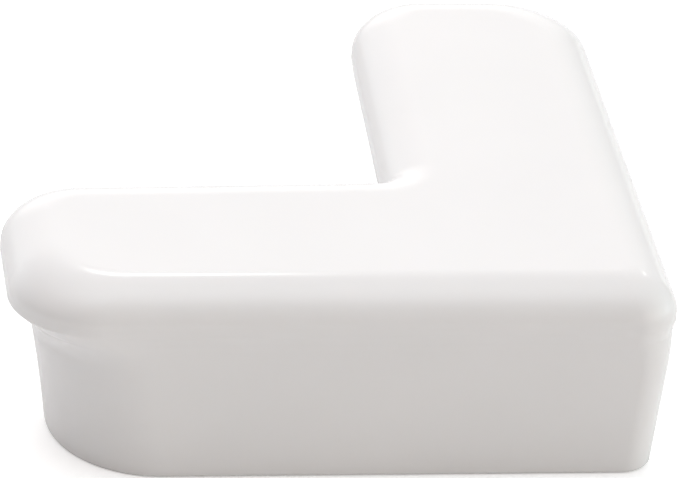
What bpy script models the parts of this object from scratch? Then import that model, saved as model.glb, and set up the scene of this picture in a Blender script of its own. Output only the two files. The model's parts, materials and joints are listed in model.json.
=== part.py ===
# Furniture corner protector: one moulded piece that guards the corner of a table top.
# An L-shaped flange lies on the table top, and a thick wall under it covers the two edges.
# Metres, +Z up. The guarded corner points to +X and -Y, one leg runs to -X and the other to +Y.
# The origin is at the middle of the box's bottom.
import math

import bmesh
import bpy

# Overall
legLength = 0.0600          # along each outer face, over the lip
legWidth = 0.0238           # flange at the hollow corner, from its outer edge to its inner edge
height = 0.0193             # from the wall's foot to the flat top

# Flange, seen from above
cornerRound = 0.0039        # guarded corner, at the lip
cornerRoundTop = 0.0010     # the same corner, at the flat top
endOuterRound = 0.0079      # leg's end, on the side of the outer face, at the lip
endOuterRoundTop = 0.0064   # the same round, at the flat top
endOuterRoundUnder = 0.0082     # the same round, under the lip
endInnerRound = 0.0075      # leg's end, on the side of the inner edge
innerCornerRound = 0.0012   # hollow corner of the L
legTaper = math.radians(1.6)    # slant of the inner edges, so that a leg narrows towards its end

# Flange, in section
edgeRun = 0.0048            # rounding all round the top, across
edgeDrop = 0.0035           # the same rounding, down
lipLand = 0.0006            # upright band below the rounding
underDrop = 0.0012          # chamfer under the lip, down
underFace = 0.0002          # the same chamfer, in from the outer faces and the inner edges
underEnd = 0.0012           # and in from the ends

# Wall under the flange
wallThickness = 0.0122      # from the lip's outer plane to the face that meets the table
wallProud = 0.00005         # how far the wall stands out past the chamfer's foot, so that the two cross
endOverhang = 0.0026        # lip past the wall, at the two ends
coveDrop = 0.0034           # hollow between the lip and the wall at the ends, down
wallCornerRound = 0.0029    # guarded corner
wallEndRound = 0.0100       # wall's end, on the side of the outer face
wallEndInnerRound = 0.0008  # wall's end, on the side of the table
tableCornerRound = 0.0006   # hollow corner that takes the table's corner
faceDraft = math.radians(3.2)
endDraft = math.radians(7.0)
endFlare = 0.0004           # how much the ends hollow in, over the wall's depth
footRound = 0.0004          # rounding of the wall's foot

# Most of an end's width that one of its rounds may take
endRoundShare = 0.48

# Steps of the arcs and of the roundings
arcSteps = 10
edgeSteps = 8
smallSteps = 4
wallSteps = 4

# Heights above the foot
landFoot = height - edgeDrop - lipLand
underside = landFoot - underDrop
wallTop = underside + underDrop / 2     # let into the flange
coveFoot = underside - coveDrop

# Angle through which the hollow at the ends turns
coveTurn = 2 * math.atan2(endOverhang - underEnd + wallProud, coveDrop)


def clearScene():
    for obj in list(bpy.data.objects):
        bpy.data.objects.remove(obj, do_unlink=True)


def makeCollection(name):
    collection = bpy.data.collections.new(name)
    bpy.context.scene.collection.children.link(collection)
    return collection


def glossPlastic():
    material = bpy.data.materials.new("gloss_white_plastic")
    material.use_nodes = True
    shader = material.node_tree.nodes["Principled BSDF"]
    shader.inputs["Base Color"].default_value = (0.86, 0.855, 0.85, 1.0)
    shader.inputs["Roughness"].default_value = 0.22
    shader.inputs["Metallic"].default_value = 0.0
    return material


def blend(start, end, share):
    return start + (end - start) * share


def arc(centre, radius, startAngle, endAngle, steps):
    """Points on a circle, angles in degrees."""
    points = []
    for step in range(steps + 1):
        angle = math.radians(blend(startAngle, endAngle, step / steps))
        points.append((centre[0] + radius * math.cos(angle), centre[1] + radius * math.sin(angle)))
    return points


def narrowed(along, across, face, inner, start, taper):
    """A leg's breadth at a place along it, with the inner side slanted and the outer side kept."""
    share = (across - face) / (inner - face)
    return across - share * math.tan(taper) * max(along - start, 0.0)


def outline(face, end, inner, corner, endOuter, endInner, hollow, taper=0.0):
    """L seen from above. face and end are insets from the lip's planes, inner is the distance from
    the outer plane to the inner side, taper is that side's slant, and the rest are radii."""
    tip = legLength - end
    start = inner + hollow
    # one leg as (along it, across it), from the middle of the guarded corner to that of the hollow one
    leg = arc((face + corner, face + corner), corner, 225, 270, arcSteps // 2)
    leg += arc((tip - endOuter, face + endOuter), endOuter, 270, 360, arcSteps)
    leg += arc((tip - endInner, inner - endInner), endInner, 0, 90, arcSteps)
    leg += arc((start, start), hollow, 270, 225, arcSteps // 2)
    leg = [(along, narrowed(along, across, face, inner, start, taper)) for along, across in leg]
    otherLeg = [(across, along) for along, across in leg[-2:0:-1]]
    half = legLength / 2
    return [(half - along, across - half) for along, across in leg + otherLeg]


def flangeRing(level, inset):
    """The flange's outline on its rounded edge."""
    share = inset / edgeRun
    corner = blend(cornerRound, cornerRoundTop, share)
    widest = (legWidth - 2 * inset) * endRoundShare
    endOuter = min(blend(endOuterRound, endOuterRoundTop, share), widest)
    endInner = min(max(endInnerRound - inset, cornerRoundTop), widest)
    return level, outline(inset, inset, legWidth - inset, corner, endOuter, endInner,
                          innerCornerRound + inset, legTaper)


def underRing(share):
    """The flange's outline on the chamfer under the lip. share is 0 at its top and 1 at its foot."""
    face = underFace * share
    widest = legWidth * endRoundShare
    endOuter = min(blend(endOuterRound, endOuterRoundUnder, share), widest)
    endInner = min(endInnerRound, widest)
    return landFoot - underDrop * share, outline(face, underEnd * share, legWidth - face, cornerRound,
                                                 endOuter, endInner, innerCornerRound + face, legTaper)


def flangeRings():
    rings = []
    for step in range(edgeSteps + 1):
        turn = math.pi / 2 * step / edgeSteps
        rings.append(flangeRing(height - edgeDrop * (1 - math.cos(turn)), edgeRun * (1 - math.sin(turn))))
    rings.append(underRing(0.0))
    rings.append(underRing(1.0))
    return rings


def wallRing(level, share, foot=0.0):
    """The wall's outline at a height. share is 0 under the lip and 1 where the ends' hollow is over,
    and foot is the inset of the rounding at the wall's foot."""
    drop = max(coveFoot - level, 0.0)
    rise = 1 - drop / coveFoot
    face = underFace - wallProud + math.tan(faceDraft) * max(underside - level, 0.0) + foot
    end = blend(underEnd - wallProud, endOverhang, share) + math.tan(endDraft) * drop
    end += endFlare * (1 - rise * rise) + foot
    inner = wallThickness - foot
    widest = (inner - face) * 2 * endRoundShare
    endInner = min(wallEndInnerRound, widest / 4)
    endOuter = min(blend(endOuterRoundUnder, wallEndRound, share) - foot, widest - endInner)
    corner = blend(cornerRound, wallCornerRound, share)
    return level, outline(face, end, inner, corner, endOuter, endInner, tableCornerRound + foot)


def wallRings():
    rings = [wallRing(wallTop, 0.0)]
    for step in range(edgeSteps + 1):
        turn = coveTurn * (1 - step / edgeSteps)
        level = coveFoot + coveDrop * math.sin(turn) / math.sin(coveTurn)
        rings.append(wallRing(level, 1 - (1 - math.cos(turn)) / (1 - math.cos(coveTurn))))
    for step in range(1, wallSteps + 1):
        rings.append(wallRing(blend(coveFoot, footRound, step / wallSteps), 1.0))
    for step in range(1, smallSteps + 1):
        turn = math.pi / 2 * step / smallSteps
        rings.append(wallRing(footRound * (1 - math.sin(turn)), 1.0, footRound * (1 - math.cos(turn))))
    return rings


def loft(name, rings, collection):
    """A closed solid through outlines of as many points each, listed from top to bottom."""
    mesh = bpy.data.meshes.new(name)
    work = bmesh.new()
    rows = [[work.verts.new((x, y, level)) for x, y in ring] for level, ring in rings]
    for upper, lower in zip(rows, rows[1:]):
        for index in range(len(upper)):
            after = (index + 1) % len(upper)
            work.faces.new((upper[index], lower[index], lower[after], upper[after]))
    work.faces.new(rows[0])
    work.faces.new(rows[-1])
    bmesh.ops.recalc_face_normals(work, faces=work.faces)
    work.to_mesh(mesh)
    work.free()
    obj = bpy.data.objects.new(name, mesh)
    collection.objects.link(obj)
    return obj


def fuse(target, tool):
    """Join the tool to the target as one body."""
    tool.hide_render = True
    tool.display_type = "WIRE"
    union = target.modifiers.new("wall", "BOOLEAN")
    union.operation = "UNION"
    union.solver = "EXACT"
    union.object = tool


def shadeSmooth(obj, sharpAngle):
    obj.data.shade_smooth()
    obj.data.set_sharp_from_angle(angle=math.radians(sharpAngle))


clearScene()
parts = makeCollection("corner_protector")
cutters = makeCollection("cutters")
protector = loft("corner_protector", flangeRings(), parts)
wall = loft("wall_shape", wallRings(), cutters)
fuse(protector, wall)
protector.data.materials.append(glossPlastic())
shadeSmooth(protector, 35)
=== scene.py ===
import json
import math

import bmesh
import bpy
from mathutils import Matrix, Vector

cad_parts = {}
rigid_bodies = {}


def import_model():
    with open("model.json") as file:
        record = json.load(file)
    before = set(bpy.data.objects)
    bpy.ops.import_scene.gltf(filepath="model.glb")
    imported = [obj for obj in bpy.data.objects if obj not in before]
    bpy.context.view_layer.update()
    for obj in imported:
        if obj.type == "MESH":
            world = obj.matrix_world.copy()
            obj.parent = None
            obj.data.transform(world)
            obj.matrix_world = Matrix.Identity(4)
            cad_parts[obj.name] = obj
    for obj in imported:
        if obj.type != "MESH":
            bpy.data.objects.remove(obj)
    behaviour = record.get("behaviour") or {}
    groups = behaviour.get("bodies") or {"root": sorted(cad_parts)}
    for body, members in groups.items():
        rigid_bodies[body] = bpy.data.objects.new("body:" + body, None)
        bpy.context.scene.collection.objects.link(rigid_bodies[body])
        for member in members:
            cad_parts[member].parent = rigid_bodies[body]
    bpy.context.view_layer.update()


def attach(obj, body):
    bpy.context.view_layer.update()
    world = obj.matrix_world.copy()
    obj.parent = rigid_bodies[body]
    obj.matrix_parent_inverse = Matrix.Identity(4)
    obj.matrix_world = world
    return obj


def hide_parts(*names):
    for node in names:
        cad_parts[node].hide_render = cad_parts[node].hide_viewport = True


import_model()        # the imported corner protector, in metres, standing on z = 0


# Camera, as the photograph was taken: from the front left and above, with a long lens

camera = {
    "place": (-0.07017, -0.42751, 0.25233),
    "turn": (60.536, -4.060, -7.467),      # degrees, XYZ
    "lens": 280.34,                        # millimetres
    "sensor": 36.0,
    "nearest": 0.01,                       # anything closer than this isn't drawn
}


def makeCamera():
    data = bpy.data.cameras.new("photoCamera")
    data.lens = camera["lens"]
    data.sensor_width = camera["sensor"]
    data.clip_start = camera["nearest"]
    obj = bpy.data.objects.new("photoCamera", data)
    obj.location = camera["place"]
    obj.rotation_euler = [math.radians(angle) for angle in camera["turn"]]
    bpy.context.scene.collection.objects.link(obj)
    bpy.context.scene.camera = obj
    print("camera ready")


# The moulded body, in metres. The sizes are the same as those of the solid that it stands for.

body = {
    "legLength": 0.0600,
    "legWidth": 0.0238,
    "height": 0.0193,
    "cornerRound": 0.0039,        # guarded corner at the lip, seen from above
    "cornerRoundTop": 0.0010,     # and at the flat top
    "endOuterRound": 0.0079,      # leg's end at the lip
    "endOuterRoundTop": 0.0064,
    "endOuterRoundUnder": 0.0082,
    "endInnerRound": 0.0075,
    "innerCornerRound": 0.0012,
    "legTaper": 1.6,              # degrees
    "edgeRun": 0.0048,            # rounding of the top's edge, across and down
    "edgeDrop": 0.0035,
    "lipLand": 0.0006,
    "underDrop": 0.0012,          # chamfer under the lip
    "underFace": 0.0002,
    "underEnd": 0.0012,
    "wallThickness": 0.0122,
    "endOverhang": 0.0026,        # lip past the wall
    "coveDrop": 0.0034,           # hollow under the lip at the ends
    "wallCornerRound": 0.0029,
    "wallEndRound": 0.0100,
    "wallEndInnerRound": 0.0008,
    "tableCornerRound": 0.0006,
    "faceDraft": 3.2,             # degrees
    "endDraft": 7.0,
    "endFlare": 0.0004,
    "footRound": 0.0004,
    "wallEndShare": 0.96,         # most of the wall's thickness that its end's two rounds take
    "arcSteps": 28,               # steps round each corner, seen from above
    "edgeSteps": 30,              # down the rounding of the top's edge
    "coveSteps": 15,              # down the hollow under the lip
    "wallSteps": 10,              # from there to the foot
    "smallSteps": 6,              # down the chamfer and round the foot
    "mergeWithin": 0.000001,      # points closer than this are one
    "sharpAngle": 30.0,           # degrees, an edge that turns more than this stays crisp
}

# Heights above the foot, and the angle through which the hollow turns
landFoot = body["height"] - body["edgeDrop"] - body["lipLand"]
underside = landFoot - body["underDrop"]
coveFoot = underside - body["coveDrop"]
coveTurn = 2 * math.atan2(body["endOverhang"] - body["underEnd"], body["coveDrop"])


def blend(start, end, share):
    return start + (end - start) * share


def arcPoints(centre, radius, startAngle, endAngle, steps):
    points = []
    for step in range(steps + 1):
        angle = math.radians(blend(startAngle, endAngle, step / steps))
        points.append((centre[0] + radius * math.cos(angle), centre[1] + radius * math.sin(angle)))
    return points


def narrowed(along, across, face, inner, start, taper):
    # a leg's breadth at a place along it, with the inner side slanted and the outer side kept
    share = (across - face) / (inner - face)
    return across - share * math.tan(math.radians(taper)) * max(along - start, 0.0)


def legSides(face, end, inner, corner, endOuter, endInner, hollow):
    # one leg as (along, across): its outer side from the middle of the guarded corner to the end,
    # and its inner side from the end to the middle of the hollow corner
    tip = body["legLength"] - end
    start = inner + hollow
    steps = body["arcSteps"]
    outer = arcPoints((face + corner, face + corner), corner, 225, 270, steps // 2)
    outer += arcPoints((tip - endOuter, face + endOuter), endOuter, 270, 360, steps)
    inside = arcPoints((tip - endInner, inner - endInner), endInner, 0, 90, steps)
    inside += arcPoints((start, start), hollow, 270, 225, steps // 2)
    return outer, inside


def slanted(side, face, inner, hollow, taper):
    start = inner + hollow
    return [(along, narrowed(along, across, face, inner, start, taper)) for along, across in side]


def bothLegs(leg):
    # the leg and its mirror image as one closed outline
    otherLeg = [(across, along) for along, across in leg[-2:0:-1]]
    half = body["legLength"] / 2
    return [(half - along, across - half) for along, across in leg + otherLeg]


def flangeOutline(face, end, corner, endOuter, endInner):
    # face and end are the insets from the lip's outer planes, the rest are radii
    inner = body["legWidth"] - face
    hollow = body["innerCornerRound"] + face
    outer, inside = legSides(face, end, inner, corner, endOuter, endInner, hollow)
    return bothLegs(slanted(outer + inside, face, inner, hollow, body["legTaper"]))


def topRing(level, inset):
    # the flange on its rounded edge
    share = inset / body["edgeRun"]
    return level, flangeOutline(inset, inset, blend(body["cornerRound"], body["cornerRoundTop"], share),
                                blend(body["endOuterRound"], body["endOuterRoundTop"], share),
                                body["endInnerRound"] - inset)


def underRing(share):
    # the flange on the chamfer under the lip, share is 0 at its top and 1 at its foot
    return (landFoot - body["underDrop"] * share,
            flangeOutline(body["underFace"] * share, body["underEnd"] * share, body["cornerRound"],
                          blend(body["endOuterRound"], body["endOuterRoundUnder"], share),
                          body["endInnerRound"]))


def flangeRings():
    rings = []
    steps = body["edgeSteps"]
    for step in range(steps + 1):
        turn = math.pi / 2 * step / steps
        rings.append(topRing(body["height"] - body["edgeDrop"] * (1 - math.cos(turn)),
                             body["edgeRun"] * (1 - math.sin(turn))))
    for step in range(body["smallSteps"] + 1):
        rings.append(underRing(step / body["smallSteps"]))
    return rings


def wallRing(level, share, foot=0.0):
    # share is 0 under the lip, where the wall's outer side is the flange's, and 1 where the hollow
    # at the ends is over; foot is the inset of the rounding at the foot
    drop = max(coveFoot - level, 0.0)
    rise = 1 - drop / coveFoot
    face = body["underFace"] + math.tan(math.radians(body["faceDraft"])) * (underside - level) + foot
    end = blend(body["underEnd"], body["endOverhang"], share) + foot
    end += math.tan(math.radians(body["endDraft"])) * drop + body["endFlare"] * (1 - rise * rise)
    inner = body["wallThickness"] - foot
    endInner = body["wallEndInnerRound"]
    endOuter = blend(body["endOuterRoundUnder"], body["wallEndRound"], share) - foot
    endOuter = min(endOuter, (inner - face) * body["wallEndShare"] - endInner)
    corner = blend(body["cornerRound"], body["wallCornerRound"], share)
    outer, inside = legSides(face, end, inner, corner, endOuter, endInner,
                             body["tableCornerRound"] + foot)
    outer = slanted(outer, face, body["legWidth"] - body["underFace"],
                    body["innerCornerRound"] + body["underFace"], body["legTaper"] * (1 - share))
    return level, bothLegs(outer + inside)


def wallRings():
    rings = []
    steps = body["coveSteps"]
    for step in range(steps + 1):
        turn = coveTurn * (1 - step / steps)
        level = coveFoot + body["coveDrop"] * math.sin(turn) / math.sin(coveTurn)
        rings.append(wallRing(level, 1 - (1 - math.cos(turn)) / (1 - math.cos(coveTurn))))
    for step in range(1, body["wallSteps"] + 1):
        rings.append(wallRing(blend(coveFoot, body["footRound"], step / body["wallSteps"]), 1.0))
    for step in range(1, body["smallSteps"] + 1):
        turn = math.pi / 2 * step / body["smallSteps"]
        rings.append(wallRing(body["footRound"] * (1 - math.sin(turn)), 1.0,
                              body["footRound"] * (1 - math.cos(turn))))
    return rings


def loft(name, rings):
    # a closed skin through outlines of as many points each, from top to bottom
    mesh = bpy.data.meshes.new(name)
    work = bmesh.new()
    rows = [[work.verts.new((x, y, level)) for x, y in ring] for level, ring in rings]
    for upper, lower in zip(rows, rows[1:]):
        for index in range(len(upper)):
            after = (index + 1) % len(upper)
            work.faces.new((upper[index], lower[index], lower[after], upper[after]))
    work.faces.new(rows[0])
    work.faces.new(rows[-1])
    # the flange's outer side and the wall's share their points where they meet
    bmesh.ops.remove_doubles(work, verts=work.verts, dist=body["mergeWithin"])
    bmesh.ops.dissolve_degenerate(work, edges=work.edges, dist=body["mergeWithin"])
    bmesh.ops.recalc_face_normals(work, faces=work.faces)
    work.to_mesh(mesh)
    work.free()
    obj = bpy.data.objects.new(name, mesh)
    bpy.context.scene.collection.objects.link(obj)
    return obj


def makeBody():
    obj = loft("mouldedBody", flangeRings() + wallRings())
    obj.data.shade_smooth()
    obj.data.set_sharp_from_angle(angle=math.radians(body["sharpAngle"]))
    weighted = obj.modifiers.new("evenNormals", "WEIGHTED_NORMAL")
    weighted.mode = "FACE_AREA"
    weighted.keep_sharp = True
    print("moulded body:", len(obj.data.polygons), "faces")
    return obj


# Gloss white plastic

plastic = {
    "light": (0.872, 0.866, 0.862, 1.0),
    "deep": (0.850, 0.846, 0.843, 1.0),
    "mottleScale": 60.0,          # soft unevenness of the white, per metre
    "glossLow": 0.13,             # roughness, from the smoothest to the dullest places
    "glossHigh": 0.19,
    "waveScale": 330.0,           # shallow waviness of the moulded skin
    "waveDepth": 0.000004,
    "grainScale": 5200.0,         # very fine texture of the mould
    "grainDepth": 0.0000006,
    "unevenFrom": 0.3,            # part of each noise that counts, from low to high
    "unevenTo": 0.7,
    "bend": 1.5,                  # how strongly the plastic refracts
    "softness": 0.08,             # light that goes into the plastic and comes out again
    "softColor": (1.0, 0.9, 0.8),
    "softDepth": 0.0015,
}


def addNode(tree, kind, place, **settings):
    # a shader node at a place in the editor, with its settings
    node = tree.nodes.new(kind)
    node.location = place
    for name, value in settings.items():
        setattr(node, name, value)
    return node


def noise(tree, place, coords, scale, detail):
    node = addNode(tree, "ShaderNodeTexNoise", place)
    node.inputs["Scale"].default_value = scale
    node.inputs["Detail"].default_value = detail
    tree.links.new(coords, node.inputs["Vector"])
    return node.outputs["Fac"]


def ranged(tree, place, source, low, high):
    node = addNode(tree, "ShaderNodeMapRange", place)
    node.inputs["From Min"].default_value = plastic["unevenFrom"]
    node.inputs["From Max"].default_value = plastic["unevenTo"]
    node.inputs["To Min"].default_value = low
    node.inputs["To Max"].default_value = high
    tree.links.new(source, node.inputs["Value"])
    return node.outputs["Result"]


def makePlastic():
    material = bpy.data.materials.new("glossWhitePlastic")
    material.use_nodes = True
    tree = material.node_tree
    shader = tree.nodes["Principled BSDF"]
    coords = addNode(tree, "ShaderNodeTexCoord", (-1300, 0)).outputs["Object"]

    mottle = noise(tree, (-1050, 300), coords, plastic["mottleScale"], 3.0)
    tint = addNode(tree, "ShaderNodeMix", (-500, 300), data_type="RGBA")
    tint.inputs["A"].default_value = plastic["deep"]
    tint.inputs["B"].default_value = plastic["light"]
    tree.links.new(ranged(tree, (-800, 300), mottle, 0.0, 1.0), tint.inputs["Factor"])
    tree.links.new(tint.outputs["Result"], shader.inputs["Base Color"])

    dull = noise(tree, (-1050, 0), coords, plastic["waveScale"], 4.0)
    gloss = ranged(tree, (-800, 0), dull, plastic["glossLow"], plastic["glossHigh"])
    tree.links.new(gloss, shader.inputs["Roughness"])

    wave = noise(tree, (-1050, -300), coords, plastic["waveScale"], 1.0)
    grain = noise(tree, (-1050, -550), coords, plastic["grainScale"], 2.0)
    waveBump = addNode(tree, "ShaderNodeBump", (-500, -300))
    waveBump.inputs["Distance"].default_value = plastic["waveDepth"]
    tree.links.new(wave, waveBump.inputs["Height"])
    grainBump = addNode(tree, "ShaderNodeBump", (-250, -450))
    grainBump.inputs["Distance"].default_value = plastic["grainDepth"]
    tree.links.new(grain, grainBump.inputs["Height"])
    tree.links.new(waveBump.outputs["Normal"], grainBump.inputs["Normal"])
    tree.links.new(grainBump.outputs["Normal"], shader.inputs["Normal"])

    shader.inputs["IOR"].default_value = plastic["bend"]
    shader.inputs["Subsurface Weight"].default_value = plastic["softness"]
    shader.inputs["Subsurface Radius"].default_value = plastic["softColor"]
    shader.inputs["Subsurface Scale"].default_value = plastic["softDepth"]
    print("plastic ready")
    return material


# Floor and studio. Round soft panels stand about the table like a light tent: round is the angle
# seen from above (0 in front, 90 at the right, 180 behind), up is the height above the horizon.

studio = {
    "floorSize": 6.0,
    "floorDrop": 0.00002,         # below the foot, so that the two faces don't flicker
    "floorColor": (0.90, 0.90, 0.90, 1.0),
    "floorGlow": 0.35,            # added where the camera sees the floor, so that it is white
    "panelSpread": 8.0,           # how fast a panel fades from its middle
    "white": (1.0, 1.0, 1.0, 1.0),
}

panels = {
    "top": {"round": 0, "up": 90, "light": 2.30, "color": (0.96, 0.975, 1.0)},
    "back": {"round": 180, "up": 45, "light": 0.72, "color": (1.0, 0.91, 0.93)},
    "backLeft": {"round": 225, "up": 45, "light": 0.12, "color": (1.0, 1.0, 1.0)},
    "left": {"round": 270, "up": 45, "light": 0.78, "color": (1.0, 0.89, 0.85)},
    "lowFrontRight": {"round": 45, "up": 12, "light": 1.66, "color": (1.0, 0.86, 0.77)},
    "lowRight": {"round": 90, "up": 12, "light": 1.95, "color": (0.83, 0.97, 0.98)},
    "lowBack": {"round": 180, "up": 12, "light": 1.75, "color": (1.0, 0.98, 0.96)},
    "lowBackLeft": {"round": 225, "up": 12, "light": 1.25, "color": (0.93, 0.98, 1.0)},
}

# Lamps behind the guard, that its rounded edge mirrors as a long line and a dot
lamps = {
    "edgeStrip": {"place": (0.032, 0.375, 0.372), "size": (0.068, 0.018), "power": 0.075},
    "cornerDot": {"place": (0.26, 0.374, 0.271), "size": (0.012, 0.012), "power": 0.02},
}


def makeFloor():
    # pale and matt, and it glows a little where the camera sees it
    mesh = bpy.data.meshes.new("floor")
    half = studio["floorSize"] / 2
    level = -studio["floorDrop"]
    corners = [(-half, -half, level), (half, -half, level), (half, half, level), (-half, half, level)]
    mesh.from_pydata(corners, [], [(0, 1, 2, 3)])
    floor = bpy.data.objects.new("floor", mesh)
    bpy.context.scene.collection.objects.link(floor)

    material = bpy.data.materials.new("paleFloor")
    material.use_nodes = True
    tree = material.node_tree
    tree.nodes.remove(tree.nodes["Principled BSDF"])
    output = tree.nodes["Material Output"]
    matt = addNode(tree, "ShaderNodeBsdfDiffuse", (-400, 100))
    matt.inputs["Color"].default_value = studio["floorColor"]
    glow = addNode(tree, "ShaderNodeEmission", (-400, -100))
    glow.inputs["Strength"].default_value = studio["floorGlow"]
    both = addNode(tree, "ShaderNodeAddShader", (-150, 0))
    tree.links.new(matt.outputs["BSDF"], both.inputs[0])
    tree.links.new(glow.outputs["Emission"], both.inputs[1])
    path = addNode(tree, "ShaderNodeLightPath", (-400, 350))
    seen = addNode(tree, "ShaderNodeMixShader", (50, 100))
    tree.links.new(path.outputs["Is Camera Ray"], seen.inputs["Fac"])
    tree.links.new(matt.outputs["BSDF"], seen.inputs[1])
    tree.links.new(both.outputs["Shader"], seen.inputs[2])
    tree.links.new(seen.outputs["Shader"], output.inputs["Surface"])
    mesh.materials.append(material)
    print("floor ready")


def makePanel(tree, row, panel):
    # one soft panel as a glow that fades with the angle from its middle
    around, up = math.radians(panel["round"]), math.radians(panel["up"])
    middle = (math.sin(around) * math.cos(up), -math.cos(around) * math.cos(up), math.sin(up))
    coords = addNode(tree, "ShaderNodeTexCoord", (-1400, row))
    facing = addNode(tree, "ShaderNodeVectorMath", (-1200, row), operation="DOT_PRODUCT")
    facing.inputs[1].default_value = middle
    tree.links.new(coords.outputs["Generated"], facing.inputs[0])
    front = addNode(tree, "ShaderNodeMath", (-1000, row), operation="MAXIMUM")
    front.inputs[1].default_value = 0.0
    tree.links.new(facing.outputs["Value"], front.inputs[0])
    fade = addNode(tree, "ShaderNodeMath", (-800, row), operation="POWER")
    fade.inputs[1].default_value = studio["panelSpread"]
    tree.links.new(front.outputs["Value"], fade.inputs[0])
    bright = addNode(tree, "ShaderNodeMath", (-600, row), operation="MULTIPLY")
    bright.inputs[1].default_value = panel["light"]
    tree.links.new(fade.outputs["Value"], bright.inputs[0])
    glow = addNode(tree, "ShaderNodeBackground", (-400, row))
    glow.inputs["Color"].default_value = (*panel["color"], 1.0)
    tree.links.new(bright.outputs["Value"], glow.inputs["Strength"])
    return glow.outputs["Background"]


def makeSky():
    world = bpy.data.worlds.new("lightTent")
    bpy.context.scene.world = world
    world.use_nodes = True
    tree = world.node_tree
    white = tree.nodes["Background"]
    white.inputs["Color"].default_value = studio["white"]
    white.inputs["Strength"].default_value = 1.0
    total = None
    for index, panel in enumerate(panels.values()):
        glow = makePanel(tree, -250 * index, panel)
        if total is not None:
            both = addNode(tree, "ShaderNodeAddShader", (-150, -250 * index))
            tree.links.new(total, both.inputs[0])
            tree.links.new(glow, both.inputs[1])
            glow = both.outputs["Shader"]
        total = glow
    path = addNode(tree, "ShaderNodeLightPath", (-150, 350))
    seen = addNode(tree, "ShaderNodeMixShader", (150, 0))
    tree.links.new(path.outputs["Is Camera Ray"], seen.inputs["Fac"])
    tree.links.new(total, seen.inputs[1])
    tree.links.new(white.outputs["Background"], seen.inputs[2])
    tree.links.new(seen.outputs["Shader"], tree.nodes["World Output"].inputs["Surface"])
    print("light tent ready:", len(panels), "panels")


def makeLamps():
    for name, lamp in lamps.items():
        data = bpy.data.lights.new(name, "AREA")
        data.shape = "RECTANGLE"
        data.size, data.size_y = lamp["size"]
        data.energy = lamp["power"]
        obj = bpy.data.objects.new(name, data)
        obj.location = lamp["place"]
        obj.rotation_euler = (-Vector(lamp["place"])).to_track_quat("-Z", "Y").to_euler()
        bpy.context.scene.collection.objects.link(obj)
    print("studio ready:", len(lamps), "lamps")


makeCamera()
makeFloor()
makeSky()
makeLamps()

mouldedBody = makeBody()
mouldedBody.data.materials.clear()
mouldedBody.data.materials.append(makePlastic())
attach(mouldedBody, "root")
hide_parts("corner_protector")

bpy.context.scene.view_settings.view_transform = "Standard"
